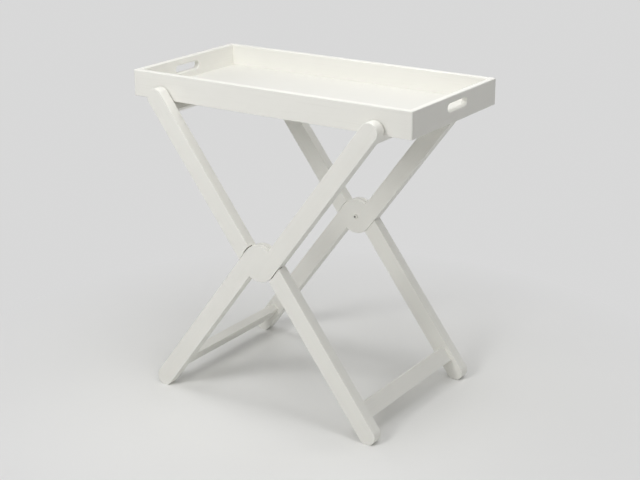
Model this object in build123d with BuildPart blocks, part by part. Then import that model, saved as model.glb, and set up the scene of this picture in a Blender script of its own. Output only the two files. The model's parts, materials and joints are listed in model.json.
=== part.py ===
from build123d import *
import os
from math import cos, radians, sin, tan

# Folding tray table: a loose wooden tray on an X stand of two hinged frames.
# Sizes in mm. The origin is on the floor below the middle of the tray, X runs along the tray,
# Y to the rear and Z up. The stand is drawn open, with the tray resting on its upper rails.

# Tray
tray_length = 580.0
tray_depth = 294.0
tray_height = 47.5
tray_wall = 11.0
floor_thickness = 5.0
floor_raise = 3.0  # underside of the floor panel above the lower edges of the walls
groove_depth = 5.0  # how far the panel's groove goes into each wall
groove_gap = 0.5  # room between the panel's edge and the bottom of its groove
handle_length = 67.5
handle_height = 14.5
rim_round = 2.0
corner_round = 3.0
tray_gap = 2.5  # between the tray's long walls and the legs

# Legs: each one is two arms on either side of a round half-lapped hub
leg_lean = 36.8  # degrees from upright, with the stand open
leg_width = 33.5
leg_thickness = 22.0
upper_arm = 349.0  # pivot to the middle of the round top end
lower_arm = 353.6  # pivot to the middle of the round foot
fold_gap = 0.4  # between the two legs' arms when they are folded side by side
lap_gap = 2.0  # between the two halves of the lap, filled by a washer
front_hub_clearance = 2.2  # between a hub's rim and the mating leg's shoulders, at the front hub
rear_hub_clearance = 0.4  # the same at the rear hub, which is the tighter one
stop_gap = 0.4  # between a leg's upper shoulder and the arm that stops against it
front_shoulder_gap = 1.4  # between a leg's lower shoulder and the arm beside it, at the front hub
rear_shoulder_gap = 0.4  # the same at the rear hub
foot_flat = 1.0  # how much of the round foot is planed off
edge_round = 1.0

# Rails from front to rear
rail_thickness = 16.0
rail_width = 30.5  # of the board, before the upper rails are planed level
upper_rail_inset = 10.0  # from the middle of the leg's round end to the rail's planed top
lower_rail_inset = 22.5  # from the middle of the round foot to the rail's lower edge

# Dowels
rail_dowel_diameter = 6.0
rail_dowel_in_rail = 18.0
rail_dowel_edge = 7.0  # from a rail's upper and lower edges to the dowels
leg_cover = 9.0  # wood left between a dowel's hole and the leg's outer face
corner_dowel_diameter = 5.0
corner_dowel_in_end = 17.0
wall_cover = 3.0  # wood left between a dowel's hole and the tray's outer face
dowel_chamfer = 0.6
hole_end_gap = 0.5  # at the bottom of each blind hole
glue_gap = 0.05  # all round dowels, bushes, inserts and the edge of the floor panel

# Pivots
shoulder_diameter = 6.0
thread_diameter = 5.0
head_diameter = 9.5
head_height = 3.0
head_round = 0.8
socket_width = 3.0  # across the flats
socket_depth = 1.6
screw_chamfer = 0.4
bush_diameter = 8.0
insert_diameter = 9.0
insert_cover = 2.5  # wood left between the insert's hole and the leg's outer face
washer_diameter = 26.0
running_clearance = 0.05  # between a screw and what turns on it
axial_play = 0.1

# Worked out from the sizes above
lean = radians(leg_lean)
end_radius = leg_width / 2
arm_mid = fold_gap / 2 + leg_width / 2
hub_radius = fold_gap / 2 + leg_width
lap_thickness = (leg_thickness - lap_gap) / 2
pivot_height = lower_arm * cos(lean) - arm_mid * sin(lean) + end_radius - foot_flat
rail_length = tray_depth + 2 * tray_gap
rail_dowel_in_leg = leg_thickness - leg_cover
corner_dowel_in_wall = tray_wall - wall_cover
insert_length = lap_thickness - insert_cover - hole_end_gap

bevel_rise = rail_thickness / 2 * tan(lean)  # of the planed top's high edge above its middle
upper_rail_top = upper_arm - upper_rail_inset
upper_rail_low = upper_rail_top + bevel_rise - rail_width
lower_rail_low = lower_arm - lower_rail_inset
lower_rail_top = lower_rail_low - rail_width
upper_dowels = [
    (upper_rail_low + rail_dowel_edge, arm_mid),
    (upper_rail_top - rail_dowel_edge, arm_mid),
]
lower_dowels = [
    (-lower_rail_low + rail_dowel_edge, -arm_mid),
    (-lower_rail_top - rail_dowel_edge, -arm_mid),
]

tray_rest = pivot_height + upper_rail_top * cos(lean) - arm_mid * sin(lean)
tray_top = tray_rest + tray_height
inner_length = tray_length - 2 * tray_wall
inner_depth = tray_depth - 2 * tray_wall
floor_bottom = tray_rest + floor_raise
floor_top = floor_bottom + floor_thickness
wall_rise = tray_top - floor_top
handle_mid = floor_top + wall_rise / 2
corner_dowels = [(wall_rise / 4, 0), (3 * wall_rise / 4, 0)]

# The tray's corners are butt joints that follow each other round: every wall covers the end of one
# neighbour and butts against the other. Each plane lies on a butt joint at the height of the tray's
# floor, its X pointing up and its Z pointing into the wall that ends there.
corner_planes = []
for turn in (1, -1):
    end_x = turn * (tray_length - tray_wall) / 2
    joint_y = -turn * inner_depth / 2
    corner_planes.append(Plane(origin=(end_x, joint_y, floor_top), x_dir=(0, 0, 1), z_dir=(0, turn, 0)))
    joint_x = turn * inner_length / 2
    side_y = turn * (tray_depth - tray_wall) / 2
    corner_planes.append(Plane(origin=(joint_x, side_y, floor_top), x_dir=(0, 0, 1), z_dir=(-turn, 0, 0)))


def save(part, node):
    """Label a finished piece and write it."""
    part.label = node
    export_step(part, f"parts/{node}.step")


def lean_plane(side, y):
    """Plane through the pivot line for frame A (side 1) or B (side -1): X runs up the leg, Y across it."""
    return Plane(
        origin=(0, y, pivot_height),
        x_dir=(side * sin(lean), 0, cos(lean)),
        z_dir=(0, side, 0),
    )


def hub_plane(row):
    """Plane on the inner face of the front hub (row -1) or the rear hub (row 1), its Z pointing outwards."""
    return Plane(origin=(0, row * rail_length / 2, pivot_height), x_dir=(1, 0, 0), z_dir=(0, row, 0))


# Tray walls: a ring with rounded edges, of which each wall keeps its own stretch
def make_wall(centre, size, has_handle):
    with BuildPart() as wall:
        with BuildSketch(Plane.XY.offset(tray_rest)):
            RectangleRounded(tray_length, tray_depth, corner_round)
            Rectangle(inner_length, inner_depth, mode=Mode.SUBTRACT)
        extrude(amount=tray_height)
        fillet(wall.faces().sort_by(Axis.Z)[-1].edges(), rim_round)
        fillet(wall.faces().sort_by(Axis.Z)[0].edges(), edge_round)
        with BuildSketch(Plane.XY.offset(tray_rest)):
            with Locations(centre):
                Rectangle(*size)
        extrude(amount=tray_height, mode=Mode.INTERSECT)
        # Groove for the floor panel
        with BuildSketch(Plane.XY.offset(floor_bottom - glue_gap)):
            Rectangle(inner_length + 2 * groove_depth, inner_depth + 2 * groove_depth)
        extrude(amount=floor_thickness + 2 * glue_gap, mode=Mode.SUBTRACT)
        # Holes for the corner dowels
        for corner in corner_planes:
            with BuildSketch(corner.offset(-corner_dowel_in_wall)):
                with Locations(*corner_dowels):
                    Circle(corner_dowel_diameter / 2 + glue_gap)
            extrude(amount=corner_dowel_in_wall + corner_dowel_in_end, mode=Mode.SUBTRACT)
        if has_handle:
            with BuildSketch(Plane.YZ.offset(centre[0] - tray_wall / 2)):
                with Locations((centre[1], handle_mid)):
                    SlotOverall(handle_length, handle_height)
            extrude(amount=tray_wall, mode=Mode.SUBTRACT)
            fillet(wall.edges(Select.LAST).filter_by(Axis.X, reverse=True), rim_round)
    return wall.part


# Legs: one design, of which the four differ only in their holes and in the gaps round the hub
def make_leg(side, row):
    plane = lean_plane(side, row * (rail_length + leg_thickness) / 2)
    inner = -row * side  # 1 where the leg's own Z points into the stand
    hub_clearance = front_hub_clearance if row < 0 else rear_hub_clearance
    shoulder_gap = front_shoulder_gap if row < 0 else rear_shoulder_gap
    with BuildPart() as leg:
        with BuildSketch(plane.offset(-leg_thickness / 2)):
            for way, arm in ((1, upper_arm), (-1, lower_arm)):
                with Locations((way * arm / 2, way * arm_mid)):
                    Rectangle(arm, leg_width)
                with Locations((way * arm, way * arm_mid)):
                    Circle(end_radius)
        extrude(amount=leg_thickness)
        # This leg's half of the lapped hub
        with BuildSketch(plane.offset(-leg_thickness / 2)):
            Circle(hub_radius)
        extrude(amount=lap_thickness)
        # Room for the mating leg's hub and arms, which stop against the shoulders when the stand is open
        with BuildSketch(plane.offset(-lap_gap / 2)):
            Circle(hub_radius + hub_clearance)
            for gap, corner in ((shoulder_gap, (Align.MIN, Align.MAX)), (stop_gap, (Align.MAX, Align.MIN))):
                Rectangle(
                    2 * hub_radius,
                    hub_radius + gap,
                    rotation=-2 * leg_lean,
                    align=corner,
                )
        extrude(amount=leg_thickness, mode=Mode.SUBTRACT)
        # Flat of the foot, on the floor
        split(bisect_by=Plane.XY, keep=Keep.TOP)
        faces = leg.faces().filter_by(Axis.Y).group_by(Axis.Y)
        fillet(faces[0].edges() + faces[-1].edges(), edge_round)
        if inner > 0:
            with BuildSketch(plane.offset(-lap_gap / 2)):
                Circle(insert_diameter / 2 + glue_gap)
            extrude(amount=-insert_length - hole_end_gap, mode=Mode.SUBTRACT)
        else:
            with Locations(-plane.offset(-leg_thickness / 2)):
                Hole(radius=bush_diameter / 2 + glue_gap, depth=lap_thickness)
        # Holes for the rails' dowels
        with BuildSketch(plane.offset(inner * leg_thickness / 2)):
            with Locations(*upper_dowels, *lower_dowels):
                Circle(rail_dowel_diameter / 2 + glue_gap)
        extrude(amount=-inner * rail_dowel_in_leg, mode=Mode.SUBTRACT)
    return leg.part


# Rails: plain boards between the legs' inner faces, glued on two dowels at each end
def make_rail(side, low, high, across, dowels):
    plane = lean_plane(side, -side * rail_length / 2)
    with BuildPart() as rail:
        with BuildSketch(plane):
            with Locations(((low + high) / 2, across)):
                Rectangle(high - low, rail_thickness)
        extrude(amount=rail_length)
        # The upper rails are planed level where the tray rests
        if across > 0:
            split(bisect_by=Plane.XY.offset(tray_rest), keep=Keep.BOTTOM)
        fillet(rail.edges().filter_by(Axis.Y), edge_round)
        for start, way in ((0, 1), (rail_length, -1)):
            with BuildSketch(plane.offset(start)):
                with Locations(*dowels):
                    Circle(rail_dowel_diameter / 2 + glue_gap)
            extrude(amount=way * rail_dowel_in_rail, mode=Mode.SUBTRACT)
    return rail.part


def make_rail_dowels(side, dowels):
    plane = lean_plane(side, -side * rail_length / 2)
    reach = rail_dowel_in_leg - hole_end_gap
    length = reach + rail_dowel_in_rail - hole_end_gap
    with BuildPart() as pegs:
        for start in (-reach, rail_length + reach - length):
            with BuildSketch(plane.offset(start)):
                with Locations(*dowels):
                    Circle(rail_dowel_diameter / 2)
            extrude(amount=length)
        chamfer(pegs.edges().filter_by(GeomType.CIRCLE), dowel_chamfer)
    return pegs.part


# Pivots: a shoulder screw from inside each hub, through a bush and a washer into a threaded insert
def make_pivot_screw(row):
    plane = hub_plane(row)
    head_top = -axial_play - head_height
    thread_start = lap_thickness + lap_gap - axial_play
    tip = lap_thickness + lap_gap + insert_length - hole_end_gap
    with BuildPart() as screw:
        with BuildSketch(plane.offset(head_top)):
            Circle(head_diameter / 2)
        extrude(amount=head_height)
        fillet(screw.edges().group_by(plane.location.z_axis)[0], head_round)
        with BuildSketch(plane.offset(-axial_play)):
            Circle(shoulder_diameter / 2)
        extrude(amount=thread_start + axial_play)
        with BuildSketch(plane.offset(thread_start)):
            Circle(thread_diameter / 2)
        extrude(amount=tip - thread_start)
        chamfer(screw.edges().group_by(plane.location.z_axis)[-1], screw_chamfer)
        with BuildSketch(plane.offset(head_top)):
            RegularPolygon(socket_width / 2, 6, major_radius=False)
        extrude(amount=socket_depth, mode=Mode.SUBTRACT)
    return screw.part


def make_sleeve(row, start, end, outer_diameter, bore_diameter):
    with BuildPart() as sleeve:
        with BuildSketch(hub_plane(row).offset(start)):
            Circle(outer_diameter / 2)
            Circle(bore_diameter / 2, mode=Mode.SUBTRACT)
        extrude(amount=end - start)
    return sleeve.part


os.makedirs("parts", exist_ok=True)

# Tray
with BuildPart() as tray_floor:
    with BuildSketch(Plane.XY.offset(floor_bottom)):
        panel_edge = 2 * (groove_depth - groove_gap)
        Rectangle(inner_length + panel_edge, inner_depth + panel_edge)
    extrude(amount=floor_thickness)
save(tray_floor.part, "tray_floor")

for turn, wall_place, end_place in ((1, "front", "right"), (-1, "back", "left")):
    wall_centre = (turn * tray_wall / 2, -turn * (tray_depth - tray_wall) / 2)
    save(make_wall(wall_centre, (tray_length - tray_wall, tray_wall), False), f"tray_{wall_place}_wall")
    end_centre = (turn * (tray_length - tray_wall) / 2, turn * tray_wall / 2)
    save(make_wall(end_centre, (tray_wall, tray_depth - tray_wall), True), f"tray_{end_place}_end")

with BuildPart() as tray_corner_dowels:
    for corner in corner_planes:
        with BuildSketch(corner.offset(hole_end_gap - corner_dowel_in_wall)):
            with Locations(*corner_dowels):
                Circle(corner_dowel_diameter / 2)
        extrude(amount=corner_dowel_in_wall + corner_dowel_in_end - 2 * hole_end_gap)
    chamfer(tray_corner_dowels.edges().filter_by(GeomType.CIRCLE), dowel_chamfer)
save(tray_corner_dowels.part, "tray_corner_dowels")

# Stand: frame A leans to the right and frame B to the left
for side, frame, upper_place, lower_place in ((1, "a", "right", "left"), (-1, "b", "left", "right")):
    save(make_leg(side, -1), f"front_leg_{frame}")
    save(make_leg(side, 1), f"rear_leg_{frame}")

    upper_rail = make_rail(side, upper_rail_low, upper_rail_top + bevel_rise, arm_mid, upper_dowels)
    save(upper_rail, f"upper_{upper_place}_rail")
    save(make_rail_dowels(side, upper_dowels), f"upper_{upper_place}_rail_dowels")

    lower_rail = make_rail(side, -lower_rail_low, -lower_rail_top, -arm_mid, lower_dowels)
    save(lower_rail, f"lower_{lower_place}_rail")
    save(make_rail_dowels(side, lower_dowels), f"lower_{lower_place}_rail_dowels")

# Pivots
for row, place in ((-1, "front"), (1, "rear")):
    save(make_pivot_screw(row), f"{place}_pivot_screw")

    bush_bore = shoulder_diameter + 2 * running_clearance
    save(make_sleeve(row, 0, lap_thickness, bush_diameter, bush_bore), f"{place}_pivot_bush")

    washer_low = lap_thickness + axial_play
    washer_high = lap_thickness + lap_gap - axial_play
    washer = make_sleeve(row, washer_low, washer_high, washer_diameter, bush_bore)
    save(washer, f"{place}_pivot_washer")

    insert_low = lap_thickness + lap_gap
    insert_bore = thread_diameter + 2 * running_clearance
    insert = make_sleeve(row, insert_low, insert_low + insert_length, insert_diameter, insert_bore)
    save(insert, f"{place}_pivot_insert")

print(f"pivot height {pivot_height:.2f}, tray rest {tray_rest:.2f}, floor top {floor_top:.2f}, top {tray_top:.2f}")
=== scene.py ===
import bpy
import json
from math import cos, pi, radians, sin
from mathutils import Matrix, Vector


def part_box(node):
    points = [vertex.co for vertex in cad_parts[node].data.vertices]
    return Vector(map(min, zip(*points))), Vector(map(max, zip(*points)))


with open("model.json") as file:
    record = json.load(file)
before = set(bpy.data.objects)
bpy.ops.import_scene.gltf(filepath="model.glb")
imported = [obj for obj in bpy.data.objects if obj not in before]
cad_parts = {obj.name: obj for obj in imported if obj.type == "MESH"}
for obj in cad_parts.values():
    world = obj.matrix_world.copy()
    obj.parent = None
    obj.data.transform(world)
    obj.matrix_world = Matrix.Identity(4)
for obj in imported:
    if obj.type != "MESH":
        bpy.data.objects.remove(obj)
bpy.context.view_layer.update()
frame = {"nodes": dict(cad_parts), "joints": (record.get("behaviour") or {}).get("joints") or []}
nodes = frame["nodes"]

# Legs
# Four beech legs, sawn from board with a bend at the hub, rounded on every edge and half lapped there.
# Each frame is glued up, filled and sanded, then sprayed with two coats of satin white enamel.
MM = 0.001
leg_lean = next(joint for joint in frame["joints"] if joint["name"] == "stand_fold")["range_deg"][1]
quarter_turn = radians(90)
leg_grain = {
    "a": (0, radians(leg_lean) - quarter_turn, 0),
    "b": (0, -radians(leg_lean) - quarter_turn, 0),
}
enamel_thick = "#F1F0EA"
enamel_thin = "#EEEDE7"
enamel_grain = "#E7E6DF"
# Beech pores are 0.1 mm wide and orange peel is about 1 mm: both are drawn coarser, so that they show
pore_length = 70 * MM
pore_width = 2.5 * MM
orange_peel = 4 * MM
coat_drift = 90 * MM
coat_depth = 0.2 * MM


def linear(hex_colour):
    """Scene-linear RGBA of an sRGB hex colour: below 0.04045 a twelfth, above it a 2.4 power."""
    channels = [int(hex_colour[place:place + 2], 16) / 255 for place in (1, 3, 5)]
    return [c / 12.92 if c <= 0.04045 else ((c + 0.055) / 1.055) ** 2.4 for c in channels] + [1.0]


def add_node(material, kind, settings=None, links=None):
    """A shader node with its settings, by property name or by socket identifier, and its incoming links."""
    node = material.node_tree.nodes.new("ShaderNode" + kind)
    sockets = {socket.identifier: socket for socket in node.inputs}
    for name, value in (settings or {}).items():
        if name in sockets:
            sockets[name].default_value = value
        else:
            setattr(node, name, value)
    for name, (source, output) in (links or {}).items():
        outputs = {socket.identifier: socket for socket in source.outputs}
        material.node_tree.links.new(outputs[output], sockets[name])
    return node


def empty_material(name):
    """A material with no nodes in it yet."""
    material = bpy.data.materials.new(name)
    material.use_nodes = True
    material.node_tree.nodes.clear()
    return material


def satin_enamel(name, grain_turn):
    """White enamel sprayed on beech: a soft even sheen, in which the grain and the spray only just show."""
    material = empty_material(name)
    place = (add_node(material, "TexCoord"), "Object")
    along = add_node(
        material,
        "Mapping",
        {"vector_type": "TEXTURE", "Rotation": grain_turn, "Scale": (pore_length, pore_width, pore_width)},
        {"Vector": place},
    )
    grain = add_node(material, "TexNoise", {"Scale": 1.0, "Detail": 3.0}, {"Vector": (along, "Vector")})
    spray = add_node(material, "TexNoise", {"Scale": 1 / orange_peel, "Detail": 2.0}, {"Vector": place})
    cloud = add_node(material, "TexNoise", {"Scale": 1 / coat_drift, "Detail": 2.0}, {"Vector": place})
    coats = add_node(
        material,
        "Mix",
        {"data_type": "RGBA", "A_Color": linear(enamel_thin), "B_Color": linear(enamel_thick)},
        {"Factor_Float": (cloud, "Fac")},
    )
    pores = add_node(
        material,
        "MapRange",
        {"From Min": 0.55, "From Max": 0.80, "To Max": 0.4},
        {"Value": (grain, "Fac")},
    )
    colour = add_node(
        material,
        "Mix",
        {"data_type": "RGBA", "B_Color": linear(enamel_grain)},
        {"Factor_Float": (pores, "Result"), "A_Color": (coats, "Result_Color")},
    )
    gloss = add_node(material, "MapRange", {"To Min": 0.36, "To Max": 0.50}, {"Value": (spray, "Fac")})
    relief = add_node(
        material, "Bump", {"Strength": 0.12, "Distance": coat_depth}, {"Height": (grain, "Fac")}
    )
    peel = add_node(
        material,
        "Bump",
        {"Strength": 0.08, "Distance": coat_depth},
        {"Height": (spray, "Fac"), "Normal": (relief, "Normal")},
    )
    shader = add_node(
        material,
        "BsdfPrincipled",
        {"IOR": 1.5},
        {
            "Base Color": (colour, "Result_Color"),
            "Roughness": (gloss, "Result"),
            "Normal": (peel, "Normal"),
        },
    )
    add_node(material, "OutputMaterial", links={"Surface": (shader, "BSDF")})
    return material


def dress(names, material):
    """Give the material to the named pieces."""
    for name in names:
        nodes[name].data.materials.clear()
        nodes[name].data.materials.append(material)


for letter, turn in leg_grain.items():
    dress([f"front_leg_{letter}", f"rear_leg_{letter}"], satin_enamel(f"satin_enamel_leg_{letter}", turn))

# Rails
# Four beech boards between the front and the rear legs. The upper two are planed level, and the tray
# rests on them. They are glued into their frames and sprayed with them.
rails = ["upper_right_rail", "lower_left_rail", "upper_left_rail", "lower_right_rail"]
grain_across = (0, 0, quarter_turn)
enamel_across = satin_enamel("satin_enamel_across", grain_across)
dress(rails, enamel_across)

# Rail dowels
# Turned beech pegs, two at each end of every rail, glued half into the rail and half into the leg.
# They are bare wood and show only when a joint is taken apart.
beech_pale = "#D2B692"
beech_dark = "#BE9B73"
beech_fleck = "#96704C"
band_length = 25 * MM
band_width = 1.2 * MM
band_depth = 0.1 * MM
# A ray is about 2 mm long and 0.1 mm wide: it is drawn four times as wide, so that it shows
ray_length = 2 * MM
ray_width = 0.4 * MM


def bare_beech(name, grain_turn):
    """Bare beech: pale pinkish brown bands along the peg, dotted with short dark rays, dry and dull."""
    material = empty_material(name)
    place = (add_node(material, "TexCoord"), "Object")
    along = add_node(
        material,
        "Mapping",
        {"vector_type": "TEXTURE", "Rotation": grain_turn, "Scale": (band_length, band_width, band_width)},
        {"Vector": place},
    )
    bands = add_node(material, "TexNoise", {"Scale": 1.0, "Detail": 3.0}, {"Vector": (along, "Vector")})
    ray_place = add_node(
        material,
        "Mapping",
        {"vector_type": "TEXTURE", "Rotation": grain_turn, "Scale": (ray_length, ray_width, ray_width)},
        {"Vector": place},
    )
    rays = add_node(material, "TexNoise", {"Scale": 1.0, "Detail": 1.0}, {"Vector": (ray_place, "Vector")})
    ray_mask = add_node(
        material,
        "MapRange",
        {"From Min": 0.62, "From Max": 0.72, "To Max": 0.8},
        {"Value": (rays, "Fac")},
    )
    wood = add_node(
        material,
        "Mix",
        {"data_type": "RGBA", "A_Color": linear(beech_pale), "B_Color": linear(beech_dark)},
        {"Factor_Float": (bands, "Fac")},
    )
    colour = add_node(
        material,
        "Mix",
        {"data_type": "RGBA", "B_Color": linear(beech_fleck)},
        {"Factor_Float": (ray_mask, "Result"), "A_Color": (wood, "Result_Color")},
    )
    dryness = add_node(material, "MapRange", {"To Min": 0.55, "To Max": 0.75}, {"Value": (bands, "Fac")})
    relief = add_node(
        material, "Bump", {"Strength": 0.25, "Distance": band_depth}, {"Height": (bands, "Fac")}
    )
    shader = add_node(
        material,
        "BsdfPrincipled",
        {"IOR": 1.5},
        {
            "Base Color": (colour, "Result_Color"),
            "Roughness": (dryness, "Result"),
            "Normal": (relief, "Normal"),
        },
    )
    add_node(material, "OutputMaterial", links={"Surface": (shader, "BSDF")})
    return material


beech_across = bare_beech("bare_beech_across", grain_across)
dress([f"{rail}_dowels" for rail in rails], beech_across)

# Pivot bushes and inserts
# A turned steel bush lines the hole of one leg in each hub, and a threaded steel insert sits in the other.
# Both are pressed into the wood and zinc plated, and the lathe's marks run round them.
zinc_blue = "#C1C6CB"
zinc_warm = "#CCCAC2"
zinc_drift = 3 * MM
# Lathe marks are about 0.1 mm apart: they are drawn five times as coarse, so that they show
lathe_pitch = 0.5 * MM
lathe_depth = 0.02 * MM
wave_period = 2 * pi / 20  # of a wave texture at a scale of one
# A dull silver sheen that drifts from bluish to warm, with fine bright rings round the piece
zinc_plate = empty_material("zinc_plated_steel")
zinc_place = (add_node(zinc_plate, "TexCoord"), "Object")
zinc_cloud = add_node(
    zinc_plate, "TexNoise", {"Scale": 1 / zinc_drift, "Detail": 2.0}, {"Vector": zinc_place}
)
lathe_marks = add_node(
    zinc_plate,
    "TexWave",
    {"bands_direction": "Y", "Scale": wave_period / lathe_pitch, "Distortion": 0.4},
    {"Vector": zinc_place},
)
zinc_colour = add_node(
    zinc_plate,
    "Mix",
    {"data_type": "RGBA", "A_Color": linear(zinc_blue), "B_Color": linear(zinc_warm)},
    {"Factor_Float": (zinc_cloud, "Fac")},
)
zinc_gloss = add_node(
    zinc_plate, "MapRange", {"To Min": 0.26, "To Max": 0.42}, {"Value": (zinc_cloud, "Fac")}
)
zinc_relief = add_node(
    zinc_plate, "Bump", {"Strength": 0.2, "Distance": lathe_depth}, {"Height": (lathe_marks, "Fac")}
)
zinc_shader = add_node(
    zinc_plate,
    "BsdfPrincipled",
    {"Metallic": 1.0},
    {
        "Base Color": (zinc_colour, "Result_Color"),
        "Roughness": (zinc_gloss, "Result"),
        "Normal": (zinc_relief, "Normal"),
    },
)
add_node(zinc_plate, "OutputMaterial", links={"Surface": (zinc_shader, "BSDF")})
hubs = ("front", "rear")
dress([f"{hub}_pivot_{piece}" for hub in hubs for piece in ("bush", "insert")], zinc_plate)

# Pivot washers
# A flat moulded nylon washer between the two halves of each hub keeps the painted faces apart, so that
# they don't rub. Only its rim can be seen, deep in the gap.
nylon_clear = "#E6E3D8"
nylon_milky = "#DBD8CB"
melt_streak = 8 * MM
light_depth = 1 * MM
# A waxy off-white that lets a little light in, with faint milky streaks where the melt flowed
nylon = empty_material("moulded_nylon")
nylon_place = (add_node(nylon, "TexCoord"), "Object")
nylon_flow = add_node(
    nylon, "TexNoise", {"Scale": 1 / melt_streak, "Detail": 2.0, "Distortion": 1.5}, {"Vector": nylon_place}
)
nylon_colour = add_node(
    nylon,
    "Mix",
    {"data_type": "RGBA", "A_Color": linear(nylon_clear), "B_Color": linear(nylon_milky)},
    {"Factor_Float": (nylon_flow, "Fac")},
)
nylon_gloss = add_node(nylon, "MapRange", {"To Min": 0.40, "To Max": 0.55}, {"Value": (nylon_flow, "Fac")})
nylon_shader = add_node(
    nylon,
    "BsdfPrincipled",
    {"IOR": 1.53, "Subsurface Weight": 0.2, "Subsurface Scale": light_depth},
    {"Base Color": (nylon_colour, "Result_Color"), "Roughness": (nylon_gloss, "Result")},
)
add_node(nylon, "OutputMaterial", links={"Surface": (nylon_shader, "BSDF")})
dress([f"{hub}_pivot_washer" for hub in hubs], nylon)

# Pivot screws
# A steel shoulder screw holds each hub together. It goes in from the inner side, through bush and washer
# into the insert, so its head shows inside the stand. The head is lacquered white, its socket is bare steel,
# and the socket's colour is darkened further with painted shade of its recess.
lacquer_bright = "#ECEBE5"
lacquer_dull = "#E2E1DA"
# Dark grey of the socket: partly bare steel, partly painted shade of the recess
socket_steel_painted_shade = "#4A4845"
lacquer_drift = 2 * MM
socket_radius = 1.8 * MM
socket_edge = 0.3 * MM
screw_low, screw_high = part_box("rear_pivot_screw")
screw_axis = (screw_low + screw_high) / 2
# A small glossy white head, a little uneven in the lacquer, with a dark dot in its middle: bare steel
# darkened with painted shade of the socket's recess
lacquer = empty_material("white_lacquered_steel")
lacquer_place = (add_node(lacquer, "TexCoord"), "Object")
lacquer_cloud = add_node(
    lacquer, "TexNoise", {"Scale": 1 / lacquer_drift, "Detail": 2.0}, {"Vector": lacquer_place}
)
from_axis = add_node(
    lacquer,
    "VectorMath",
    {"operation": "SUBTRACT", "Vector_001": (screw_axis.x, 0, screw_axis.z)},
    {"Vector": lacquer_place},
)
round_axis = add_node(
    lacquer,
    "VectorMath",
    {"operation": "MULTIPLY", "Vector_001": (1, 0, 1)},
    {"Vector": (from_axis, "Vector")},
)
radius = add_node(lacquer, "VectorMath", {"operation": "LENGTH"}, {"Vector": (round_axis, "Vector")})
coated = add_node(
    lacquer,
    "MapRange",
    {"From Min": socket_radius, "From Max": socket_radius + socket_edge},
    {"Value": (radius, "Value")},
)
lacquer_colour = add_node(
    lacquer,
    "Mix",
    {"data_type": "RGBA", "A_Color": linear(lacquer_dull), "B_Color": linear(lacquer_bright)},
    {"Factor_Float": (lacquer_cloud, "Fac")},
)
# Inside the socket radius the head takes the dark grey, which is bare steel plus painted shade of the recess
screw_colour = add_node(
    lacquer,
    "Mix",
    {"data_type": "RGBA", "A_Color": linear(socket_steel_painted_shade)},
    {"Factor_Float": (coated, "Result"), "B_Color": (lacquer_colour, "Result_Color")},
)
lacquer_gloss = add_node(
    lacquer, "MapRange", {"To Min": 0.25, "To Max": 0.38}, {"Value": (lacquer_cloud, "Fac")}
)
lacquer_shader = add_node(
    lacquer,
    "BsdfPrincipled",
    {"IOR": 1.5},
    {"Base Color": (screw_colour, "Result_Color"), "Roughness": (lacquer_gloss, "Result")},
)
add_node(lacquer, "OutputMaterial", links={"Surface": (lacquer_shader, "BSDF")})
dress([f"{hub}_pivot_screw" for hub in hubs], lacquer)

# Tray floor
# A thin wood-fibre board that slides into a groove round the four walls and is held by it.
# It is sprayed with the same enamel, and having no grain it comes out smoother than the beech.
panel_light = "#E4E3DD"
panel_shade = "#E0DFD9"
# The grit of the spray is about 1 mm: it is drawn three times as coarse, so that it shows
spray_grit = 3 * MM
panel_drift = 120 * MM
# A smooth warm white with a soft sheen, in which only the grit of the spray breaks the light
panel = empty_material("satin_enamel_on_board")
panel_place = (add_node(panel, "TexCoord"), "Object")
panel_spray = add_node(panel, "TexNoise", {"Scale": 1 / spray_grit, "Detail": 2.0}, {"Vector": panel_place})
panel_cloud = add_node(panel, "TexNoise", {"Scale": 1 / panel_drift, "Detail": 2.0}, {"Vector": panel_place})
panel_colour = add_node(
    panel,
    "Mix",
    {"data_type": "RGBA", "A_Color": linear(panel_shade), "B_Color": linear(panel_light)},
    {"Factor_Float": (panel_cloud, "Fac")},
)
panel_gloss = add_node(panel, "MapRange", {"To Min": 0.38, "To Max": 0.50}, {"Value": (panel_spray, "Fac")})
panel_relief = add_node(
    panel, "Bump", {"Strength": 0.08, "Distance": coat_depth}, {"Height": (panel_spray, "Fac")}
)
panel_shader = add_node(
    panel,
    "BsdfPrincipled",
    {"IOR": 1.5},
    {
        "Base Color": (panel_colour, "Result_Color"),
        "Roughness": (panel_gloss, "Result"),
        "Normal": (panel_relief, "Normal"),
    },
)
add_node(panel, "OutputMaterial", links={"Surface": (panel_shader, "BSDF")})
dress(["tray_floor"], panel)

# Tray walls
# Four beech boards round the floor, each butted against the next and glued on dowels. The two ends have
# a hand slot cut through them. All edges are rounded, and the tray is sprayed as one.
grain_along = (0, 0, 0)
dress(["tray_front_wall", "tray_back_wall"], satin_enamel("satin_enamel_along", grain_along))
dress(["tray_left_end", "tray_right_end"], enamel_across)

# Tray corner dowels
# Two turned beech pegs in each corner of the tray, glued into the end of one wall and the face of the
# next. Half of them run along the tray and half across it, so their grain is drawn on the slant between.
grain_slant = (0, 0, quarter_turn / 2)
dress(["tray_corner_dowels"], bare_beech("bare_beech_corners", grain_slant))

# Studio floor
# A wide sheet of pale paper under and behind the table. It keeps the table's shadow, and further off it
# fades into the even white of a lit backdrop.
floor_half = 30.0
paper_white = "#F3F3F1"
backdrop_white = 0.69
fade_start = 0.32
fade_end = 0.75
floor_corners = [(x * floor_half, y * floor_half, 0) for x, y in ((-1, -1), (1, -1), (1, 1), (-1, 1))]
floor_mesh = bpy.data.meshes.new("studio_floor")
floor_mesh.from_pydata(floor_corners, [], [(0, 1, 2, 3)])
studio_floor = bpy.data.objects.new("studio_floor", floor_mesh)
bpy.context.collection.objects.link(studio_floor)


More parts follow.
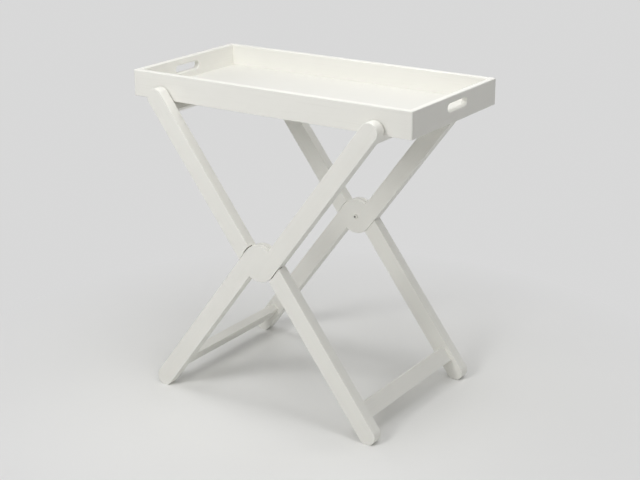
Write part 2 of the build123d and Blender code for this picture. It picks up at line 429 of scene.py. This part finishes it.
def background_rays(material):
    """One for rays that show the surface, straight, mirrored or through glass, and nought for its light."""
    ray = add_node(material, "LightPath")
    straight = add_node(
        material,
        "Math",
        {"operation": "MAXIMUM"},
        {"Value": (ray, "Is Camera Ray"), "Value_001": (ray, "Is Transmission Ray")},
    )
    return add_node(
        material,
        "Math",
        {"operation": "MAXIMUM"},
        {"Value": (straight, "Value"), "Value_001": (ray, "Is Glossy Ray")},
    )


# Matt white paper that takes the table's soft shadow near by and shines evenly further off
paper = empty_material("pale_paper")
paper_place = (add_node(paper, "TexCoord"), "Object")
paper_reach = add_node(paper, "VectorMath", {"operation": "LENGTH"}, {"Vector": paper_place})
paper_fade = add_node(
    paper,
    "MapRange",
    {"From Min": fade_start, "From Max": fade_end},
    {"Value": (paper_reach, "Value"), "To Max": (background_rays(paper), "Value")},
)
paper_shader = add_node(
    paper, "BsdfPrincipled", {"Base Color": linear(paper_white), "Roughness": 0.9, "Specular IOR Level": 0.2}
)
backdrop_glow = add_node(paper, "Emission", {"Strength": backdrop_white})
paper_mix = add_node(
    paper,
    "MixShader",
    links={
        "Fac": (paper_fade, "Result"),
        "Shader": (paper_shader, "BSDF"),
        "Shader_001": (backdrop_glow, "Emission"),
    },
)
add_node(paper, "OutputMaterial", links={"Surface": (paper_mix, "Shader")})
floor_mesh.materials.append(paper)

# Studio light
# The main softbox stands in front of the table and to its left. Weaker ones hang over the tray and stand
# behind and on the left. Broad lights from above, the front right and behind, and a white room, fill in.
# Each softbox has its place and its aim in metres, its size in metres and its watts
softboxes = {
    "front_softbox": ((-0.3, -1.55, 1.35), (0.0, 0.0, 0.3), 0.6, 11.7),
    "tray_softbox": ((0.15, -0.05, 1.25), (0.15, -0.05, 0.0), 0.6, 2.5),
    "back_softbox": ((0.5, 0.9, 1.9), (0.0, 0.0, 0.3), 0.6, 3.8),
    "left_softbox": ((-1.6, 0.0, 1.5), (0.0, 0.0, 0.3), 0.8, 3.5),
}
for name, (stand, aim, size, watts) in softboxes.items():
    softbox = bpy.data.lights.new(name, "AREA")
    softbox.size = size
    softbox.energy = watts
    softbox_object = bpy.data.objects.new(name, softbox)
    softbox_object.location = stand
    softbox_object.rotation_euler = (Vector(stand) - Vector(aim)).to_track_quat("Z", "Y").to_euler()
    softbox_object.visible_camera = False
    bpy.context.collection.objects.link(softbox_object)

# Each broad light has its tilt, turn and spread in degrees, and its level, where one is full light
broad_lights = {
    "top_light": (0, 0, 20, 0.11),
    "side_light": (45, 45, 60, 0.23),
    "rear_light": (65, 180, 60, 0.10),
}
for name, (tilt, turn, spread, level) in broad_lights.items():
    broad_light = bpy.data.lights.new(name, "SUN")
    broad_light.energy = level * pi
    broad_light.angle = radians(spread)
    broad_light_object = bpy.data.objects.new(name, broad_light)
    broad_light_object.rotation_euler = (radians(tilt), 0, radians(turn))
    bpy.context.collection.objects.link(broad_light_object)

room_light = 0.09
world = bpy.data.worlds.new("studio")
bpy.context.scene.world = world
world.use_nodes = True
world.node_tree.nodes.clear()
room = add_node(
    world,
    "MapRange",
    {"To Min": room_light, "To Max": backdrop_white},
    {"Value": (background_rays(world), "Value")},
)
glow = add_node(world, "Background", {"Color": (1, 1, 1, 1)}, {"Strength": (room, "Result")})
add_node(world, "OutputWorld", links={"Surface": (glow, "Background")})
bpy.context.scene.view_settings.view_transform = "Standard"

# Camera
# It stands to the right of the table's front, a little over two and a half metres off, and looks down on
# the table at a low angle, as in the photograph.
azimuth = radians(33.509)
elevation = radians(19.197)
roll = radians(-0.085)
distance = 2.53757
target = Vector((0.0164, -0.0005, 0.2872))
back = Vector((sin(azimuth) * cos(elevation), -cos(azimuth) * cos(elevation), sin(elevation)))
camera_data = bpy.data.cameras.new("photo_camera")
camera_data.lens = 77.29
camera_data.sensor_width = 36.0
camera = bpy.data.objects.new("photo_camera", camera_data)
bpy.context.collection.objects.link(camera)
upright = back.to_track_quat("Z", "Y").to_matrix().to_4x4()
camera.matrix_world = Matrix.Translation(target + distance * back) @ upright @ Matrix.Rotation(roll, 4, "Z")
bpy.context.scene.camera = camera
